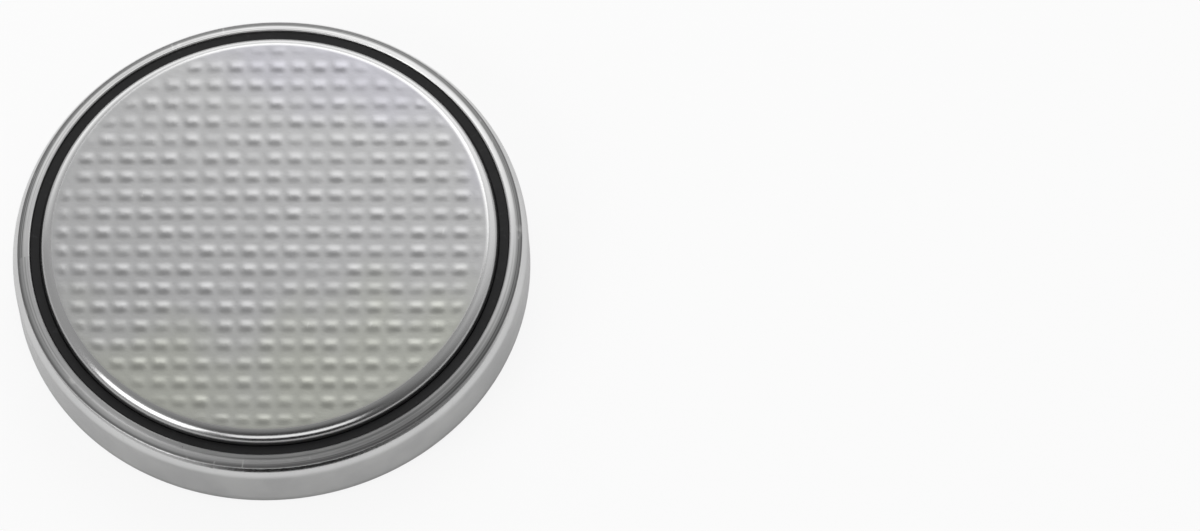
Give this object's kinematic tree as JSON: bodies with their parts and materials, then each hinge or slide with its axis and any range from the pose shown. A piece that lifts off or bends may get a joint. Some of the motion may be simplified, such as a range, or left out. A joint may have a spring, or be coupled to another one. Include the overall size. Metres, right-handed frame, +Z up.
{
  "type": "lithium coin cell",
  "caption": "Flat round lithium coin cell: crimped steel case as the positive pole, black gasket ring, and a raised, finely embossed negative cap.",
  "frame": {"origin": "centre of the flat positive face, on the surface that the cell lies on", "axes": "+Z up the cell's axis, from the positive face to the negative cap; the shape is the same all round it"},
  "size_m": [0.02, 0.02, 0.0032],
  "materials": {
    "case_steel": "bright satin stainless steel sheet",
    "gasket_black": "black moulded polypropylene",
    "cap_steel": "matt embossed stainless steel sheet with a bright shoulder",
    "lithium": "soft dull metal foil",
    "separator_felt": "non-woven polypropylene",
    "cathode_mix": "pressed black powder",
    "collector_steel": "thin stainless steel sheet"
  },
  "bodies": {
    "root": {"positive_case": "case_steel", "gasket": "gasket_black", "negative_cap": "cap_steel", "lithium_anode": "lithium", "separator": "separator_felt", "cathode_pellet": "cathode_mix", "cathode_collector": "collector_steel"}
  },
  "joints": []
}
